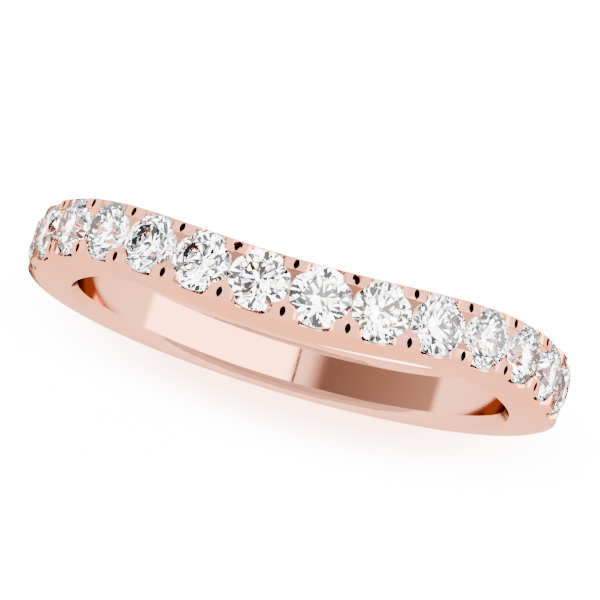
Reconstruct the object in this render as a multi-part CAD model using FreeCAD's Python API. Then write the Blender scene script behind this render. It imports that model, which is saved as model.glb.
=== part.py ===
import FreeCAD
import Part
import math
import os

Vector = FreeCAD.Vector

# A contoured wedding band: one cast metal band that carries a row of round brilliant stones
# held by split prongs over U-shaped cuts. Lengths are in millimetres and angles in degrees.
#
# Frame: the origin is the centre of the finger bore, Y is the finger axis, and +Z points from
# the bore to the middle of the stone row. Angles round the ring are measured from +Z to +X.

# ---- finger bore and stones -------------------------------------------------------------
finger_bore_diameter = 17.3
bore_stock = 0.05               # metal inside the bore that the boring cut removes
stone_count = 14
stone_diameter = 2.22
stone_gap = 0.01                # between the girdles of two neighbouring stones
girdle_lift = 1.81              # from the bore wall to the girdle plane of the stones

# ---- proportions of the brilliant cut ---------------------------------------------------
table_share = 0.57              # table width over stone diameter
girdle_share = 0.035            # girdle thickness over stone diameter
crown_angle = 34.5
pavilion_angle = 40.8
star_length = 0.50              # how far a star facet reaches from the table to the girdle
lower_half_length = 0.77        # how far a lower-half facet reaches from the girdle to the culet
main_facets = 8

# ---- contour of the band, seen from above the stones ------------------------------------
contour_depth = 1.02            # how far the middle of the row is set towards -Y
contour_half_angle = 60.0       # the contour has run out at this angle from the middle

# ---- cross-section of the head, under the stones ----------------------------------------
head_base_width = 2.66          # across the side walls, just above the bore
head_top_width = 2.32           # across the side walls, just below the girdle of the stones
head_bore_flat = 2.30           # width of the plain bore wall
head_edge_rise = 0.14           # height of the rounded inner edge above the bore
head_edge_lean = 45.0           # slope of that edge where it leaves the bore
head_shoulder_height = 0.34     # height of the rounding over the prongs
head_shoulder_width = 0.12
head_shoulder_bulge = 0.02
prong_height = 0.26             # from the girdle plane to the top of the prongs

# ---- cross-section of the shank, opposite the stones ------------------------------------
shank_width = 2.40
shank_thickness = 1.48
shank_bore_flat = 1.52
shank_edge_rise = 0.42
shank_edge_lean = 20.0
shank_shoulder_height = 0.58
shank_shoulder_width = 0.62
shank_shoulder_bulge = 0.13
outer_crown = 0.05              # how much the outside domes between its shoulders
taper_start_angle = 52.0        # the width starts to change from the head's to the shank's here
taper_end_angle = 145.0         # and has changed here
thinning_start_angle = 92.0     # the thickness starts to change here
thinning_end_angle = 172.0      # and has changed here
section_step = 15.0             # angle between two sections of the body

# ---- seats, cuts and prongs -------------------------------------------------------------
seat_clearance = 0.01
claw_cover = 0.20               # how far the metal may reach in over the edge of a stone
slot_width = 1.25               # the U-shaped cut across the band under each stone
slot_depth = 0.11               # from the girdle plane to the bottom of the U
slot_corner = 0.34              # radius of the two corners of the U
prong_reach = 0.66              # from the middle of the row to the inner ends of the prongs
prong_flat = 0.70               # width of the flat top of a pair of prongs
prong_bevel = 0.12              # height of the bevel beside it
valley_drop = 0.05              # between two stones the metal dips this far below the girdle
valley_rise = 0.16              # and rises this far above it at the prongs
pit_width = 0.22                # the leaf-shaped pit that splits a pair of prongs
pit_length = 0.39
pit_depth = 0.70                # from the top of the prongs
pit_inset = 0.02                # from the inner ends of the prongs to the pit
gap_width = 0.44                # two pairs on the +Y side are parted by a V as well
gap_depth = 0.30
drill_radius = 0.38             # the hole behind each stone, at the culet
drill_flare = 0.58              # and where it opens into the bore

# ---- derived ----------------------------------------------------------------------------
bore_radius = finger_bore_diameter / 2
girdle_radius = bore_radius + girdle_lift
stone_radius = stone_diameter / 2
girdle_half = stone_diameter * girdle_share / 2
pitch_angle = math.degrees(2 * math.asin((stone_diameter + stone_gap) / 2 / girdle_radius))
pair_width = stone_diameter + stone_gap - slot_width
beyond = 3.0                    # how far a cutting tool reaches past the metal


def sin(degrees):
    return math.sin(math.radians(degrees))


def cos(degrees):
    return math.cos(math.radians(degrees))


def tan(degrees):
    return math.tan(math.radians(degrees))


def mix(first, second, share):
    return first + (second - first) * share


def eased(value, start, end):
    """Share of the way from start to end, with a smooth start and finish."""
    share = min(1.0, max(0.0, (value - start) / (end - start)))
    return share * share * (3 - 2 * share)


# ---- the path of the band ---------------------------------------------------------------
def contour(angle):
    """Set of the band's middle along Y at an angle round the ring."""
    share = min(1.0, abs(angle) / contour_half_angle)
    return -contour_depth * (1 + cos(180 * share)) / 2


def contour_turn(angle):
    """Angle between the band's path and the plane of the ring."""
    step = 0.5
    rise = contour(angle + step) - contour(angle - step)
    return math.degrees(math.atan2(rise, math.radians(2 * step) * girdle_radius))


def on_row(angle):
    """Placement whose origin is on the girdle circle, with X along the row and Z outwards."""
    outwards = Vector(sin(angle), 0, cos(angle))
    place = outwards * girdle_radius + Vector(0, contour(angle), 0)
    tilt = FreeCAD.Rotation(Vector(0, 1, 0), angle)
    turn = FreeCAD.Rotation(Vector(0, 0, 1), contour_turn(angle))
    return FreeCAD.Placement(place, tilt.multiply(turn))


def stone_angles():
    return [(i - (stone_count - 1) / 2) * pitch_angle for i in range(stone_count)]


def between_stones():
    return [angle + pitch_angle / 2 for angle in stone_angles()[:-1]]


# ---- the round brilliant ----------------------------------------------------------------
def below_plane(shape, a, b, c):
    """The part of a shape on the Z axis's side of the plane through three points."""
    normal = (b - a).cross(c - a)
    normal.normalize()
    if normal.dot(a) < 0:
        normal = normal * -1
    side = stone_diameter * 3
    block = Part.makeBox(side, side, side, Vector(-side / 2, -side / 2, 0))
    block.Placement = FreeCAD.Placement(a, FreeCAD.Rotation(Vector(0, 0, 1), normal))
    return shape.cut(block)


def ring_point(radius, angle, height):
    return Vector(radius * cos(angle), radius * sin(angle), height)


def brilliant():
    """A round brilliant with its girdle in the XY plane and its table upwards."""
    table_radius = stone_radius * table_share
    crown_height = girdle_half + (stone_radius - table_radius) * tan(crown_angle)
    pavilion_depth = girdle_half + stone_radius * tan(pavilion_angle)
    step = 360 / main_facets
    half = step / 2
    blank = Part.makeCylinder(
        stone_radius, crown_height + pavilion_depth, Vector(0, 0, -pavilion_depth)
    )
    table_edge = table_radius * cos(half)
    star_radius = mix(table_edge, stone_radius, star_length)
    star_height = girdle_half + (stone_radius - star_radius * cos(half)) * tan(crown_angle)
    lower_radius = stone_radius * (1 - lower_half_length)
    lower_height = -girdle_half - (stone_radius - lower_radius * cos(half)) * tan(pavilion_angle)
    for k in range(main_facets):
        main = k * step
        across = ring_point(1, main + 90, 0)
        girdle_top = ring_point(stone_radius, main, girdle_half)
        girdle_bottom = ring_point(stone_radius, main, -girdle_half)
        table_corner = ring_point(table_radius, main, crown_height)
        blank = below_plane(blank, girdle_top, girdle_top + across, table_corner)
        blank = below_plane(blank, girdle_bottom, girdle_bottom + across, Vector(0, 0, -pavilion_depth))
        next_corner = ring_point(table_radius, main + step, crown_height)
        star = ring_point(star_radius, main + half, star_height)
        blank = below_plane(blank, table_corner, next_corner, star)
        lower = ring_point(lower_radius, main + half, lower_height)
        middle_top = ring_point(stone_radius, main + half, girdle_half)
        middle_bottom = ring_point(stone_radius, main + half, -girdle_half)
        for corner in (main, main + step):
            edge_top = ring_point(stone_radius, corner, girdle_half)
            edge_bottom = ring_point(stone_radius, corner, -girdle_half)
            blank = below_plane(blank, star, edge_top, middle_top)
            blank = below_plane(blank, lower, edge_bottom, middle_bottom)
    return blank


# ---- the body of the band ---------------------------------------------------------------
def bulged(start, end, bulge):
    """An arc from start to end that stands out by bulge on the left of that direction."""
    along = end - start
    across = Vector(0, 0, 1).cross(along)
    across.normalize()
    return Part.Arc(start, (start + end) / 2 + across * bulge, end).toShape()


def section(angle):
    """Closed outline of the band's cross-section at an angle round the ring."""
    taper = eased(abs(angle), taper_start_angle, taper_end_angle)
    half_base = mix(head_base_width, shank_width, taper) / 2
    half_top = mix(head_top_width, shank_width, taper) / 2
    half_flat = mix(head_bore_flat, shank_bore_flat, taper) / 2
    edge_rise = mix(head_edge_rise, shank_edge_rise, taper)
    edge_lean = mix(head_edge_lean, shank_edge_lean, taper)
    thinning = eased(abs(angle), thinning_start_angle, thinning_end_angle)
    shoulder_height = mix(head_shoulder_height, shank_shoulder_height, thinning)
    shoulder_width = mix(head_shoulder_width, shank_shoulder_width, thinning)
    shoulder_bulge = mix(head_shoulder_bulge, shank_shoulder_bulge, thinning)
    top = mix(girdle_lift + prong_height, shank_thickness, thinning)
    # In these points X is the height above the bore wall, and Y runs along the finger axis.
    inner = Vector(-bore_stock, half_flat - bore_stock / tan(edge_lean), 0)
    crease = Vector(0, half_flat, 0)
    edge = Vector(edge_rise, half_base, 0)
    shoulder = Vector(top - outer_crown - shoulder_height, half_top, 0)
    brow = Vector(top - outer_crown, half_top - shoulder_width, 0)

    def mirrored(point):
        return Vector(point.x, -point.y, 0)

    edges = [
        Part.LineSegment(mirrored(inner), inner).toShape(),
        Part.Arc(inner, crease, edge).toShape(),
        Part.LineSegment(edge, shoulder).toShape(),
        bulged(shoulder, brow, shoulder_bulge),
        Part.Arc(brow, Vector(top, 0, 0), mirrored(brow)).toShape(),
        bulged(mirrored(brow), mirrored(shoulder), shoulder_bulge),
        Part.LineSegment(mirrored(shoulder), mirrored(edge)).toShape(),
        Part.Arc(mirrored(edge), mirrored(crease), mirrored(inner)).toShape(),
    ]
    outline = Part.Wire(edges)
    outwards = Vector(sin(angle), 0, cos(angle))
    place = outwards * bore_radius + Vector(0, contour(angle), 0)
    turn = FreeCAD.Rotation(outwards, Vector(0, 1, 0), Vector(), "XYZ")
    outline.Placement = FreeCAD.Placement(place, turn)
    return outline


def band_blank():
    """The band before any stone is set: a closed loft with a true cylinder for its bore."""
    count = round(360 / section_step)
    outlines = [section(-180 + i * section_step) for i in range(count)]
    body = Part.makeLoft(outlines, True, False, True)
    bore = Part.makeCylinder(
        bore_radius, 4 * head_base_width, Vector(0, -2 * head_base_width, 0), Vector(0, 1, 0)
    )
    return body.cut(bore)


# ---- the cutting tools ------------------------------------------------------------------
def turned(points):
    """Solid of revolution about Z from an outline of (radius, height) points."""
    outline = Part.makePolygon([Vector(r, 0, z) for r, z in points + points[:1]])
    return Part.Face(outline).revolve(Vector(), Vector(0, 0, 1), 360)


def across_band(edges):
    """Extrudes an outline in the XZ plane right across the band."""
    outline = Part.Wire([edge.toShape() for edge in edges])
    far = Vector(0, -beyond, 0)
    outline.translate(far)
    return Part.Face(outline).extrude(far * -2)


def polygon(points):
    """Line segments through (x, z) points in the XZ plane, closed back to the first."""
    corners = [Vector(x, 0, z) for x, z in points]
    return [Part.LineSegment(a, b) for a, b in zip(corners, corners[1:] + corners[:1])]


def stone_room():
    """Cuts the seat of one stone and the opening over it."""
    wall = stone_radius + seat_clearance
    rim = girdle_half + seat_clearance
    opening = stone_radius - claw_cover
    return turned(
        [
            (0, -rim - wall * tan(pavilion_angle)),
            (wall, -rim),
            (wall, rim),
            (opening, rim + (wall - opening) * tan(crown_angle)),
            (opening, beyond),
            (0, beyond),
        ]
    )


def drill_tool():
    """Cuts the hole behind one stone, which flares towards the finger."""
    top = -stone_radius / 2        # halfway up the seat, well past the culet
    bottom = -girdle_lift - bore_stock
    return Part.makeCone(drill_flare, drill_radius, top - bottom, Vector(0, 0, bottom))


def slot_tool():
    """Cuts the U across the band at one stone."""
    half = slot_width / 2
    floor = -slot_depth
    spring = floor + slot_corner
    inner = half - slot_corner
    slack = slot_corner * (1 - cos(45))

    def at(x, z):
        return Vector(x, 0, z)

    edges = [
        Part.LineSegment(at(half, beyond), at(-half, beyond)),
        Part.LineSegment(at(-half, beyond), at(-half, spring)),
        Part.Arc(at(-half, spring), at(-half + slack, floor + slack), at(-inner, floor)),
        Part.LineSegment(at(-inner, floor), at(inner, floor)),
        Part.Arc(at(inner, floor), at(half - slack, floor + slack), at(half, spring)),
        Part.LineSegment(at(half, spring), at(half, beyond)),
    ]
    return across_band(edges)


def seat_tool():
    """Everything that is cut at one stone."""
    return stone_room().fuse([slot_tool(), drill_tool()]).removeSplitter()


def pit_tool(side):
    """Cuts the leaf-shaped pit between the two prongs on one side of the band."""
    inner = prong_reach + pit_inset
    near = Vector(0, side * inner, 0)
    far = Vector(0, side * (inner + pit_length), 0)
    middle = (near + far) / 2
    swell = Vector(pit_width / 2, 0, 0)
    leaf = Part.Wire(
        [
            Part.Arc(near, middle + swell, far).toShape(),
            Part.Arc(far, middle - swell, near).toShape(),
        ]
    )
    leaf.translate(Vector(0, 0, prong_height - pit_depth))
    return Part.Face(leaf).extrude(Vector(0, 0, beyond))


def prong_tool():
    """Bevels the prongs of two neighbouring stones, splits them and cuts the valley between."""
    flat = prong_flat / 2
    outer = pair_width / 2
    past = stone_radius
    low = prong_height - prong_bevel
    tops = across_band(
        polygon(
            [
                (-past, beyond),
                (-past, low),
                (-outer, low),
                (-flat, prong_height),
                (flat, prong_height),
                (outer, low),
                (past, low),
                (past, beyond),
            ]
        )
    )
    valley_outline = [
        Vector(-past, y, z)
        for y, z in (
            (0, -valley_drop),
            (prong_reach, valley_rise),
            (prong_reach, beyond),
            (-prong_reach, beyond),
            (-prong_reach, valley_rise),
            (0, -valley_drop),
        )
    ]
    valley = Part.Face(Part.makePolygon(valley_outline)).extrude(Vector(2 * past, 0, 0))
    return tops.fuse([valley, pit_tool(1), pit_tool(-1)]).removeSplitter()


def gap_tool():
    """Cuts the V that parts a pair of prongs on the +Y side, out through the side wall."""
    half = gap_width / 2
    wedge = across_band(
        polygon([(-half, prong_height), (0, prong_height - gap_depth), (half, prong_height)])
    )
    keep = Part.makeBox(
        gap_width * 2, beyond + prong_reach + pit_length / 2, beyond * 2,
        Vector(-gap_width, -beyond, -beyond),
    )
    return wedge.cut(keep)


def placed(shape, angle):
    copy = shape.copy()
    copy.Placement = on_row(angle)
    return copy


def band():
    seat = seat_tool()
    prongs = prong_tool()
    gap = gap_tool()
    body = band_blank()
    body = body.cut([placed(prongs, angle) for angle in between_stones()])
    body = body.cut([placed(gap, angle) for angle in (-pitch_angle, pitch_angle)])
    body = body.cut([placed(seat, angle) for angle in stone_angles()])
    return body


# ---- the parts --------------------------------------------------------------------------
def check(name, shape):
    solids = shape.Solids
    print(name, "solids", len(solids), "valid", shape.isValid(), "volume", round(shape.Volume, 3))


def main():
    os.makedirs("parts", exist_ok=True)
    metal = band()
    check("band", metal)
    metal.exportStep("parts/band.step")
    stone = brilliant()
    check("stone", stone)
    for number, angle in enumerate(stone_angles(), 1):
        placed(stone, angle).exportStep("parts/diamond_%02d.step" % number)


main()
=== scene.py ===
"""Looks for a rose gold wedding band with a row of fourteen shared-prong diamonds.

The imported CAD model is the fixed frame: the band and the stones keep their shapes, and
get polished gold, brilliant-cut diamond and a plain studio to stand in.
"""

import math

import bmesh
import bpy
from mathutils import Matrix, Vector


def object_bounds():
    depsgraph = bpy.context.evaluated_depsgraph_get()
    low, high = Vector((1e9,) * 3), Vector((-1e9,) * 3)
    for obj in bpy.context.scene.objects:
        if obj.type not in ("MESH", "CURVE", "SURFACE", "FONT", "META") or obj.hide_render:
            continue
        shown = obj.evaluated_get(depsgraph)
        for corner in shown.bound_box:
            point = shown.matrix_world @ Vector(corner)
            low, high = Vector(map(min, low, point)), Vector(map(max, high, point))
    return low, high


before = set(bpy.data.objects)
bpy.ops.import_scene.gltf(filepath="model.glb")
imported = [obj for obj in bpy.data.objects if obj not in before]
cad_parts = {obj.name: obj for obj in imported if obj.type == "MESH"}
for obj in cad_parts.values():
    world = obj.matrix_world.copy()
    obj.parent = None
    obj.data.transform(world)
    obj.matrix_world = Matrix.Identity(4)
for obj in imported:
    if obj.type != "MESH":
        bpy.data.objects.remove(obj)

bl_info = {
    "name": "Wedding band finishes",
    "version": (1, 0, 0),
    "blender": (4, 5, 0),
    "location": "3D View > Sidebar > Wedding Band",
    "description": "Polished rose gold, diamonds and a plain studio for a wedding band",
    "category": "Object",
}

CAD_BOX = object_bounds()

BAND = "band"
STONES = tuple(sorted(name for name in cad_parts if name.startswith("diamond_")))
MM = 0.001

# The stone row, as the band is cut for it.
STONE_RADIUS = 1.11 * MM
STONE_GAP = 0.01 * MM
GIRDLE_RADIUS = 10.46 * MM
PRONG_TOP = 10.72 * MM
PRONG_END = 0.66 * MM
PIT_END = 1.08 * MM
PIT_FLOOR = 10.02 * MM
STONE_PITCH = 2 * math.asin((STONE_RADIUS + STONE_GAP / 2) / GIRDLE_RADIUS)
CONTOUR_DEPTH = 1.02 * MM
CONTOUR_REACH = math.radians(60)

# The bruted girdle, as shares of the stone's radius.
GIRDLE_START = 0.985
GIRDLE_SOFT = 0.01

# Painted shade, and added roughness, in the pits between the prongs: the width is a share of the
# pitch.
PIT_HALF_WIDTH = 0.11
PIT_SOFT_SIDE = 0.02
PIT_SOFT_END = 0.01 * MM
PIT_SHADE_TOP = PRONG_TOP - 0.2 * MM
PIT_SHADE_FADE = 0.3 * MM
PIT_SHADE_FOOT = PIT_FLOOR - 0.05 * MM
PIT_SOFT_FOOT = 0.02 * MM

# The painted shadow on the floor, tinted warm as a painted reflection of the gold, is an ellipse of
# this half length and half width.
FLOOR_SHADOW_LENGTH = 12.0 * MM
FLOOR_SHADOW_WIDTH = 3.2 * MM
FLOOR_SHADOW_EDGE = (0.85, 0.7)

# The softbox on the right, in metres.
KEY_PLACE = (0.36, 0.115, 0.37)
KEY_SIZE = (1.02, 0.12)

# Where the parts of the room start and end. Each pair is a component of the direction from
# the ring, and the width of the soft step there.
BESIDE_NEAR = (-0.12, 0.1)
BESIDE_FAR = (0.5, 0.1)
VIEWER_SIDE = (-0.3, 0.2)
VIEWER_FOOT = (0.3, 0.3)
END_WALL = (0.62, 0.2)
END_WALL_LIT = (0.3, 0.9)
BORE_ROW_NEAR = (0.13, 0.04)
BORE_ROW_FAR = (0.25, 0.08)
FLAG_RIGHT = (-0.2, 0.2)
FLAG_FOOT = (0.05, 0.03)
FRAME_LEFT = (-0.042, 0.006)
FRAME_RIGHT = (0.0, 0.006)
SHADOW_NEAR = (-0.12, 0.08)
SHADOW_TOP = (-0.8, 0.2)
SHADOW_SIDE = (0.2, 0.15)
HORIZON = (0.03, 0.06)
TABLE_EDGE = (-0.4, 0.1)
SIDE_PANEL = (0.6, 0.5)

# How the walls' light changes round the ring, as shares of it.
BESIDE_GAIN = 0.7
VIEWER_LOSS = 0.6
END_WALL_LOW = 0.45
END_WALL_RISE = 1.5

# The ceiling's lamps lie in the troughs of two waves that cross.
LAMP_WAVES = ((11.0, 5.0), (-4.0, 12.0))
LAMP_EDGE = (-0.45, 0.4)


class Socket:
    """One output socket of a shader tree, or a plain number, with arithmetic."""

    def __init__(self, tree, source):
        self.tree = tree
        self.source = source

    def math(self, operation, *others):
        values = dict(enumerate((self,) + others))
        return self.tree.node("ShaderNodeMath", {"operation": operation}, values)

    def __add__(self, other):
        return self.math("ADD", other)

    __radd__ = __add__

    def __mul__(self, other):
        return self.math("MULTIPLY", other)

    __rmul__ = __mul__

    def __sub__(self, other):
        return self.math("SUBTRACT", other)

    def __rsub__(self, other):
        return (self * -1.0) + other

    def __truediv__(self, other):
        return self.math("DIVIDE", other)

    def above(self, edge, soft):
        """1 where the value is over the edge, with a soft step of that width."""
        return self.tree.node(
            "ShaderNodeMapRange",
            {"interpolation_type": "SMOOTHSTEP", "clamp": True},
            {"Value": self, "From Min": edge - soft / 2, "From Max": edge + soft / 2},
        )

    def below(self, edge, soft):
        """1 where the value is under the edge, with a soft step of that width."""
        return 1.0 - self.above(edge, soft)


class Tree:
    """A shader node tree that is built from Python expressions."""

    def __init__(self, owner):
        owner.use_nodes = True
        self.nodes = owner.node_tree.nodes
        self.links = owner.node_tree.links
        self.nodes.clear()

    def node(self, kind, settings=None, values=None, output=0):
        """Adds a node: its settings first, then the values or links of its inputs."""
        made = self.nodes.new(kind)
        for name, value in (settings or {}).items():
            setattr(made, name, value)
        for name, value in (values or {}).items():
            if isinstance(value, Socket):
                self.links.new(value.source, made.inputs[name])
            else:
                made.inputs[name].default_value = value
        return Socket(self, made.outputs[output]) if made.outputs else None

    def axes(self, vector):
        """The X, Y and Z of a vector."""
        split = self.node("ShaderNodeSeparateXYZ", values={"Vector": vector}).source.node
        return tuple(Socket(self, split.outputs[axis]) for axis in "XYZ")

    def blend_colour(self, factor, first, second):
        """Mixes two colours by a factor."""
        return self.node(
            "ShaderNodeMix",
            {"data_type": "RGBA", "clamp_factor": True},
            {0: factor, 6: first, 7: second},
            output=2,
        )


def mix(first, second, share):
    """Goes from the first value to the second by a share."""
    return first + (second - first) * share


def rgba(colour):
    """A colour with full opacity."""
    return (colour[0], colour[1], colour[2], 1.0)


def cylinder_coordinates(tree):
    """Radius from the finger axis, height along it, and the turn round it."""
    x, y, z = tree.axes(tree.node("ShaderNodeTexCoord", output="Object"))
    radius = (x * x + z * z).math("SQRT")
    turn = x.math("ARCTAN2", z)
    return radius, y, turn


def row_coordinates(tree):
    """Radius, distance from the middle of the contoured row, and turn round the ring."""
    radius, along_axis, turn = cylinder_coordinates(tree)
    share = (turn.math("ABSOLUTE") / CONTOUR_REACH).math("MINIMUM", 1.0)
    contour = ((share * math.pi).math("COSINE") + 1.0) * (-CONTOUR_DEPTH / 2)
    return radius, along_axis - contour, turn


def stone_coordinates(tree):
    """Place round the nearest stone: along the row and across it."""
    radius, across, turn = row_coordinates(tree)
    middle = ((turn / STONE_PITCH).math("FLOOR") + 0.5) * STONE_PITCH
    along = radius * (turn - middle).math("SINE")
    return along, across


def pit_mask(tree):
    """1 on the walls of the leaf-shaped pits that split each pair of prongs."""
    radius, across, turn = row_coordinates(tree)
    past = (turn / STONE_PITCH).math("FRACT")
    from_gap = past.math("MINIMUM", 1.0 - past)
    middle = from_gap.below(PIT_HALF_WIDTH, PIT_SOFT_SIDE)
    shaded = radius.below(PIT_SHADE_TOP, PIT_SHADE_FADE)
    deep = shaded * radius.above(PIT_SHADE_FOOT, PIT_SOFT_FOOT)
    off = across.math("ABSOLUTE")
    between = off.above(PRONG_END, PIT_SOFT_END) * off.below(PIT_END, PIT_SOFT_END)
    return middle * deep * between


def gold_material(settings):
    """Polished rose gold: fine lines from the wheel, softened edges, and painted shade in the pits.
    """
    material = bpy.data.materials.new("rose_gold_polished")
    tree = Tree(material)
    radius, across, turn = cylinder_coordinates(tree)
    lines = tree.node(
        "ShaderNodeCombineXYZ",
        values={"X": radius, "Y": across, "Z": turn.math("SINE") * settings.line_stretch},
    )
    polish = tree.node(
        "ShaderNodeTexNoise",
        {"noise_dimensions": "4D"},
        {
            "Vector": lines,
            "W": turn.math("COSINE") * settings.line_stretch * settings.line_scale,
            "Scale": settings.line_scale,
            "Detail": 3.0,
            "Roughness": 0.6,
        },
    )
    cloud = tree.node(
        "ShaderNodeTexNoise",
        values={
            "Vector": tree.node("ShaderNodeTexCoord", output="Object"),
            "Scale": settings.cloud_scale,
            "Detail": 2.0,
        },
    )
    pit = pit_mask(tree)
    warm = cloud.above(0.5, 0.6)
    colour = tree.blend_colour(warm, rgba(settings.colour), rgba(settings.colour_warm))
    # Painted shade: the pits' walls turn near-black in the colour, standing in for the shade deep
    # between the claws; the same mask adds roughness.
    colour = tree.blend_colour(pit, colour, rgba(settings.pit_shade_colour))
    roughness = polish * settings.line_roughness + settings.roughness
    roughness = roughness + cloud * settings.cloud_roughness + pit * settings.pit_roughness
    soft_edges = tree.node("ShaderNodeBevel", {"samples": 4}, {"Radius": settings.edge_radius})
    normal = tree.node(
        "ShaderNodeBump",
        values={
            "Strength": settings.line_bump,
            "Distance": settings.line_depth,
            "Height": polish,
            "Normal": soft_edges,
        },
    )
    shader = tree.node(
        "ShaderNodeBsdfPrincipled",
        values={
            "Base Color": colour,
            "Metallic": 1.0,
            "Roughness": roughness,
            "Normal": normal,
            "Specular Tint": rgba(settings.grazing_tint),
        },
    )
    tree.node("ShaderNodeOutputMaterial", values={"Surface": shader})
    return material


def diamond_material(settings):
    """Clear diamond with faint painted fire and a bruted girdle."""
    material = bpy.data.materials.new("diamond_brilliant")
    tree = Tree(material)
    along, across = stone_coordinates(tree)
    reach = (along * along + across * across).math("SQRT")
    girdle = reach.above(STONE_RADIUS * GIRDLE_START, STONE_RADIUS * GIRDLE_SOFT)
    cells = tree.node(
        "ShaderNodeTexVoronoi",
        {"feature": "F1"},
        {
            "Vector": tree.node("ShaderNodeTexCoord", output="Object"),
            "Scale": settings.fire_scale,
        },
        output="Color",
    )
    # Painted fire: random cells of the body colour are tinted warm or cool, painted glints that stand
    # in for the stone's dispersion.
    hue = tree.node("ShaderNodeSeparateColor", values={"Color": cells}, output="Red")
    chance = tree.node("ShaderNodeSeparateColor", values={"Color": cells}, output="Green")
    fire = tree.blend_colour(hue.above(0.5, 0.02), rgba(settings.fire_warm), rgba(settings.fire_cool))
    glint = chance.above(1.0 - settings.fire_share, 0.01)
    colour = tree.blend_colour(glint, rgba(settings.colour), fire)
    shader = tree.node(
        "ShaderNodeBsdfPrincipled",
        values={
            "Base Color": colour,
            "Roughness": girdle * settings.girdle_roughness,
            "IOR": settings.ior,
            "Specular Tint": rgba(settings.glare),
            "Transmission Weight": 1.0,
        },
    )
    tree.node("ShaderNodeOutputMaterial", values={"Surface": shader})
    return material


def floor_material(settings):
    """Pale lit acrylic, with a painted shadow round the foot of the band, tinted warm as a painted
    reflection of the gold.
    """
    material = bpy.data.materials.new("studio_floor")
    tree = Tree(material)
    where = tree.node("ShaderNodeTexCoord", output="Object")
    x, y, _ = tree.axes(where)
    x, y = x / FLOOR_SHADOW_LENGTH, y / FLOOR_SHADOW_WIDTH
    # Painted shadow: inside this ellipse the floor's light is dimmed and tinted warm, a painted
    # reflection of the gold.
    near = (x * x + y * y).math("SQRT").below(*FLOOR_SHADOW_EDGE)
    grain = tree.node("ShaderNodeTexNoise", values={"Vector": where, "Scale": 300.0})
    shader = tree.node(
        "ShaderNodeBsdfPrincipled",
        values={
            "Base Color": rgba(settings.floor_colour),
            "Roughness": grain * 0.05 + 0.5,
            "Emission Color": tree.blend_colour(
                near, rgba(settings.floor_colour), rgba(settings.floor_shadow_tint),
            ),
            "Emission Strength": settings.floor_glow,
        },
    )
    tree.node("ShaderNodeOutputMaterial", values={"Surface": shader})
    return material


def paint(node, material):
    """Puts one material in every slot of a CAD node."""
    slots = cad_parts[node].data.materials
    for place in range(len(slots)):
        slots[place] = material
    if not slots:
        slots.append(material)


class GoldSettings(bpy.types.PropertyGroup):
    colour: bpy.props.FloatVectorProperty(
        name="Gold", description="Colour of the polished gold", subtype="COLOR",
        size=3, min=0.0, max=1.0, default=(0.90, 0.36, 0.225),
    )
    colour_warm: bpy.props.FloatVectorProperty(
        name="Warm Gold", description="Colour of the slightly redder patches", subtype="COLOR",
        size=3, min=0.0, max=1.0, default=(0.89, 0.345, 0.21),
    )
    grazing_tint: bpy.props.FloatVectorProperty(
        name="Grazing Tint", description="Tint of the gold where it is seen nearly edge on",
        subtype="COLOR", size=3, min=0.0, max=1.0, default=(1.0, 0.62, 0.44),
    )
    # Painted shade: the near-black colour that stands in for the shade deep in the pits between
    # claws.
    pit_shade_colour: bpy.props.FloatVectorProperty(
        name="Pit Shade", description="Colour deep in the pits between claws", subtype="COLOR",
        size=3, min=0.0, max=1.0, default=(0.03, 0.016, 0.012),
    )
    roughness: bpy.props.FloatProperty(
        name="Roughness", description="Roughness of the polished faces", subtype="FACTOR",
        min=0.0, max=1.0, default=0.02,
    )
    line_roughness: bpy.props.FloatProperty(
        name="Line Roughness", description="Roughness that the polishing lines add",
        subtype="FACTOR", min=0.0, max=1.0, default=0.03,
    )
    cloud_roughness: bpy.props.FloatProperty(
        name="Patch Roughness", description="Roughness that the slow changes add",
        subtype="FACTOR", min=0.0, max=1.0, default=0.01,
    )
    pit_roughness: bpy.props.FloatProperty(
        name="Pit Roughness", description="Roughness that the unpolished pits add",
        subtype="FACTOR", min=0.0, max=1.0, default=0.4,
    )
    line_bump: bpy.props.FloatProperty(
        name="Line Strength", description="How strongly the polishing lines tilt the surface",
        subtype="FACTOR", min=0.0, max=1.0, default=0.05,
    )
    line_depth: bpy.props.FloatProperty(
        name="Line Depth", description="Depth of the polishing lines", subtype="DISTANCE",
        unit="LENGTH", min=0.0, default=0.00001, precision=6,
    )
    line_scale: bpy.props.FloatProperty(
        name="Line Scale", description="Polishing lines per metre across the band",
        min=1.0, default=9000.0,
    )
    line_stretch: bpy.props.FloatProperty(
        name="Line Stretch", description="How slowly a polishing line changes along itself",
        min=0.0, default=0.0004, precision=5,
    )
    cloud_scale: bpy.props.FloatProperty(
        name="Patch Scale", description="Scale of the slow changes of tone",
        min=1.0, default=260.0,
    )
    edge_radius: bpy.props.FloatProperty(
        name="Edge Radius", description="Radius that polishing gives each edge",
        subtype="DISTANCE", unit="LENGTH", min=0.0, default=0.00003, precision=6,
    )


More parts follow.
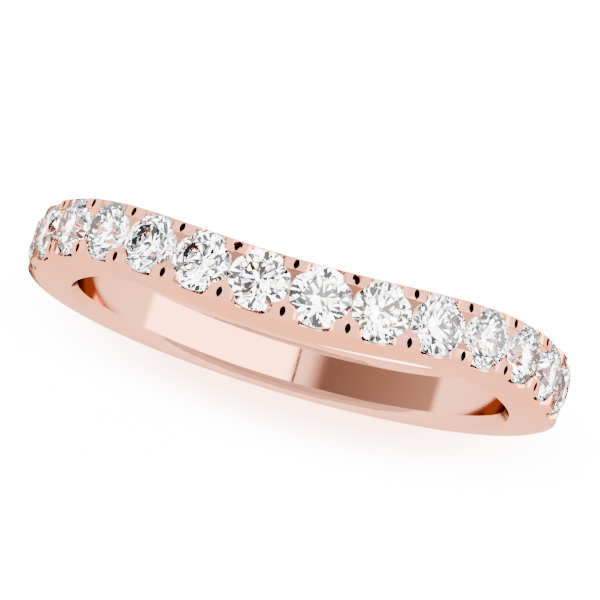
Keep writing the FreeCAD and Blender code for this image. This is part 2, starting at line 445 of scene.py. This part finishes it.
class StoneSettings(bpy.types.PropertyGroup):
    colour: bpy.props.FloatVectorProperty(
        name="Diamond", description="Body colour of the stones", subtype="COLOR",
        size=3, min=0.0, max=1.0, default=(0.99, 0.99, 1.0),
    )
    glare: bpy.props.FloatVectorProperty(
        name="Glare", description="How much of the room the facets mirror on their outside",
        subtype="COLOR", size=3, min=0.0, max=1.0, default=(0.35, 0.35, 0.35),
    )
    # Painted fire: colours, share and size of the painted glints in the body colour.
    fire_warm: bpy.props.FloatVectorProperty(
        name="Warm Fire", description="Colour of the warm glints", subtype="COLOR",
        size=3, min=0.0, max=1.0, default=(1.0, 0.74, 0.28),
    )
    fire_cool: bpy.props.FloatVectorProperty(
        name="Cool Fire", description="Colour of the cool glints", subtype="COLOR",
        size=3, min=0.0, max=1.0, default=(0.48, 0.52, 1.0),
    )
    fire_share: bpy.props.FloatProperty(
        name="Fire Share", description="Share of the stone that shows fire", subtype="FACTOR",
        min=0.0, max=1.0, default=0.15,
    )
    fire_scale: bpy.props.FloatProperty(
        name="Fire Scale", description="Glints per metre", min=1.0, default=5200.0,
    )
    ior: bpy.props.FloatProperty(
        name="Refraction", description="Refractive index of diamond",
        min=1.0, max=3.0, default=2.417,
    )
    girdle_roughness: bpy.props.FloatProperty(
        name="Girdle Roughness", description="Roughness of the bruted girdle",
        subtype="FACTOR", min=0.0, max=1.0, default=0.35,
    )


class StudioSettings(bpy.types.PropertyGroup):
    floor_colour: bpy.props.FloatVectorProperty(
        name="Floor", description="Colour of the floor", subtype="COLOR",
        size=3, min=0.0, max=1.0, default=(0.95, 0.95, 0.95),
    )
    # Painted shadow: the darker warm colour that the floor's light takes round the band's foot.
    floor_shadow_tint: bpy.props.FloatVectorProperty(
        name="Painted Floor Shadow", description="Colour of the floor close to the band",
        subtype="COLOR", size=3, min=0.0, max=1.0, default=(0.46, 0.25, 0.19),
    )
    floor_glow: bpy.props.FloatProperty(
        name="Floor Glow", description="Light that the lit floor gives", min=0.0, default=15.0,
    )
    floor_radius: bpy.props.FloatProperty(
        name="Floor Radius", description="Radius of the floor", subtype="DISTANCE",
        unit="LENGTH", min=0.1, default=1.5,
    )
    sky: bpy.props.FloatProperty(
        name="Room Light", description="Light from the room's plain walls",
        min=0.0, default=1.9,
    )
    lamps: bpy.props.FloatProperty(
        name="Ceiling Lamps", description="Light that the stones gather from each lamp",
        min=0.0, default=38.0,
    )
    side_panels: bpy.props.FloatProperty(
        name="Side Panels", description="Light that the stones gather from the left and right",
        min=0.0, default=14.0,
    )
    gaps: bpy.props.FloatProperty(
        name="Dark Gaps", description="Light from the darkest parts of the room",
        min=0.0, default=0.16,
    )
    table: bpy.props.FloatProperty(
        name="Lit Table", description="Light that the stones gather from the lit floor",
        min=0.0, default=8.0,
    )
    flag: bpy.props.FloatProperty(
        name="Flag", description="Light from the dark flag on the left", min=0.0, default=0.28,
    )
    flag_edge: bpy.props.FloatProperty(
        name="Flag Edge", description="Light that the flag gains towards the floor",
        min=0.0, default=0.55,
    )
    below: bpy.props.FloatProperty(
        name="Floor Bounce", description="Light that the metal sees straight under it",
        min=0.0, default=3.0,
    )
    below_edge: bpy.props.FloatProperty(
        name="Floor Bounce Edge", description="What that light gains towards the floor's edge",
        min=0.0, default=0.6,
    )
    key: bpy.props.FloatProperty(
        name="Softbox", description="How bright the softbox on the right looks",
        min=0.0, default=6.3,
    )
    azimuth: bpy.props.FloatProperty(
        name="Azimuth", description="Camera's turn to the right of the near side",
        subtype="ANGLE", unit="ROTATION", default=math.radians(16.35),
    )
    elevation: bpy.props.FloatProperty(
        name="Elevation", description="Camera's angle above the floor", subtype="ANGLE",
        unit="ROTATION", default=math.radians(77.527),
    )
    distance: bpy.props.FloatProperty(
        name="Distance", description="Camera's distance from the finger bore",
        subtype="DISTANCE", unit="LENGTH", min=0.01, default=0.09901,
    )
    lens: bpy.props.FloatProperty(
        name="Lens", description="Focal length", min=10.0, default=152.14,
    )
    aside: bpy.props.FloatVectorProperty(
        name="Aim", description="How far right of and above the bore's centre it aims",
        subtype="XYZ", unit="LENGTH", size=2, default=(0.000078, 0.000917), precision=6,
    )


class BAND_OT_gold(bpy.types.Operator):
    """Give the band its polished rose gold"""

    bl_idname = "band.gold"
    bl_label = "Polish the Band"

    def execute(self, context):
        paint(BAND, gold_material(context.scene.band_gold))
        return {"FINISHED"}


class BAND_OT_diamonds(bpy.types.Operator):
    """Give the fourteen stones their diamond finish"""

    bl_idname = "band.diamonds"
    bl_label = "Finish the Diamonds"

    def execute(self, context):
        diamond = diamond_material(context.scene.band_stones)
        for stone in STONES:
            paint(stone, diamond)
        return {"FINISHED"}


def make_floor(settings):
    """A wide disc under the band."""
    foot = CAD_BOX[0][2]
    mesh = bpy.data.meshes.new("floor")
    shape = bmesh.new()
    bmesh.ops.create_circle(
        shape, cap_ends=True, segments=96, radius=settings.floor_radius,
        matrix=Matrix.Translation((0.0, 0.0, foot)),
    )
    shape.to_mesh(mesh)
    shape.free()
    floor = bpy.data.objects.new("floor", mesh)
    bpy.context.scene.collection.objects.link(floor)
    floor.data.materials.append(floor_material(settings))
    floor.visible_glossy = False
    floor.visible_transmission = False
    floor.visible_diffuse = False


def metal_light(tree, settings):
    """What the gold mirrors: a pale room above, with a dark flag, and the lit floor below."""
    x, y, z = tree.axes(tree.node("ShaderNodeTexCoord", output="Generated"))
    level = 1.0 - z.math("ABSOLUTE")

    beside = y.above(*BESIDE_NEAR) * y.below(*BESIDE_FAR)
    viewer = y.below(*VIEWER_SIDE) * z.above(*VIEWER_FOOT)
    walls = (1.0 + beside * BESIDE_GAIN - viewer * VIEWER_LOSS) * settings.sky
    end_light = z.above(*END_WALL_LIT) * END_WALL_RISE + END_WALL_LOW
    walls = walls * mix(1.0, end_light, y.math("ABSOLUTE").above(*END_WALL))

    # The inside of the bore mirrors only a narrow row of the room.
    bore_row = y.above(*BORE_ROW_NEAR) * y.below(*BORE_ROW_FAR)
    flag = bore_row * x.below(*FLAG_RIGHT) * z.above(*FLAG_FOOT)
    frame_line = bore_row * x.below(*FRAME_RIGHT) * x.above(*FRAME_LEFT)
    room = mix(walls, level * settings.flag_edge + settings.flag, flag)
    room = mix(room, settings.gaps, frame_line)

    shadow = y.above(*SHADOW_NEAR) * z.below(*SHADOW_TOP)
    shadow = shadow * x.math("ABSOLUTE").above(*SHADOW_SIDE)
    floor = mix(level * settings.below_edge + settings.below, settings.gaps, shadow)

    # Each further reflection inside the bore loses light.
    bounce = tree.node("ShaderNodeLightPath", output="Glossy Depth").math("MAXIMUM", 1.0)
    return mix(room, floor, z.below(*HORIZON)) / (bounce * bounce * bounce)


def stone_light(tree, settings):
    """What the stones gather: small bright lamps in a dark ceiling, and the lit table."""
    x, y, z = tree.axes(tree.node("ShaderNodeTexCoord", output="Generated"))
    first, second = ((x * a + y * b).math("SINE") for a, b in LAMP_WAVES)
    lamps = (first + second).below(*LAMP_EDGE) * (settings.lamps - settings.gaps)
    panels = x.math("ABSOLUTE").above(*SIDE_PANEL) * settings.side_panels
    ceiling = lamps + settings.gaps + panels
    return mix(ceiling, settings.table, z.below(*TABLE_EDGE))


def make_world(settings):
    """The studio round the ring: one light for the gold and one for inside the stones."""
    world = bpy.data.worlds.new("studio")
    bpy.context.scene.world = world
    tree = Tree(world)
    through = tree.node("ShaderNodeLightPath", output="Is Transmission Ray")
    strength = mix(metal_light(tree, settings), stone_light(tree, settings), through)
    shader = tree.node(
        "ShaderNodeBackground",
        values={"Color": (1.0, 1.0, 1.0, 1.0), "Strength": strength},
    )
    tree.node("ShaderNodeOutputWorld", values={"Surface": shader})


def facing(place):
    """Turns a light at that place to the ring, with its long side in the ring's own plane."""
    back = Vector((place.x, 0.0, place.z)).normalized()
    across = Vector((0.0, 1.0, 0.0))
    along = across.cross(back)
    return Matrix((along, across, back)).transposed().to_4x4()


def softbox(name, centre, size, radiance):
    """A rectangular soft light that faces the ring; radiance is how bright it looks."""
    data = bpy.data.lights.new(name, "AREA")
    data.shape = "RECTANGLE"
    data.size, data.size_y = size
    data.energy = radiance * math.pi * size[0] * size[1]
    light = bpy.data.objects.new(name, data)
    bpy.context.scene.collection.objects.link(light)
    place = Vector(centre)
    light.matrix_world = Matrix.Translation(place) @ facing(place)


def make_camera(settings):
    """The viewpoint: above the row of stones, leaning to the near side."""
    turn, rise = settings.azimuth, settings.elevation
    back = Vector((
        math.sin(turn) * math.cos(rise),
        -math.cos(turn) * math.cos(rise),
        math.sin(rise),
    ))
    right = Vector((math.cos(turn), math.sin(turn), 0.0))
    up = back.cross(right)
    data = bpy.data.cameras.new("camera")
    data.sensor_width = 36.0
    data.lens = settings.lens
    data.clip_start = 0.005
    data.clip_end = 10.0
    camera = bpy.data.objects.new("camera", data)
    bpy.context.scene.collection.objects.link(camera)
    where = right * settings.aside[0] + up * settings.aside[1] + back * settings.distance
    axes = Matrix((right, up, back)).transposed().to_4x4()
    camera.matrix_world = Matrix.Translation(where) @ axes
    bpy.context.scene.camera = camera


class BAND_OT_stage(bpy.types.Operator):
    """Set up the floor, the room, the softbox and the camera"""

    bl_idname = "band.stage"
    bl_label = "Set Up the Studio"

    def execute(self, context):
        settings = context.scene.band_studio
        make_floor(settings)
        make_world(settings)
        softbox("key_right", KEY_PLACE, KEY_SIZE, settings.key)
        make_camera(settings)
        return {"FINISHED"}


class BAND_PT_panel(bpy.types.Panel):
    """Lists the finishes and the studio"""

    bl_idname = "BAND_PT_panel"
    bl_label = "Wedding Band"
    bl_space_type = "VIEW_3D"
    bl_region_type = "UI"
    bl_category = "Wedding Band"

    def draw(self, context):
        for operator, group in STEPS:
            box = self.layout.box()
            box.operator(operator)
            settings = getattr(context.scene, group)
            for name in settings.__annotations__:
                box.prop(settings, name)


STEPS = (
    ("band.gold", "band_gold"),
    ("band.diamonds", "band_stones"),
    ("band.stage", "band_studio"),
)
GROUPS = {
    "band_gold": GoldSettings,
    "band_stones": StoneSettings,
    "band_studio": StudioSettings,
}
CLASSES = tuple(GROUPS.values()) + (
    BAND_OT_gold,
    BAND_OT_diamonds,
    BAND_OT_stage,
    BAND_PT_panel,
)


def register():
    for item in CLASSES:
        bpy.utils.register_class(item)
    for name, group in GROUPS.items():
        setattr(bpy.types.Scene, name, bpy.props.PointerProperty(type=group))


def unregister():
    for name in GROUPS:
        delattr(bpy.types.Scene, name)
    for item in reversed(CLASSES):
        bpy.utils.unregister_class(item)


def main():
    register()
    bpy.ops.band.gold()
    bpy.ops.band.diamonds()
    bpy.ops.band.stage()


if __name__ == "__main__":
    main()
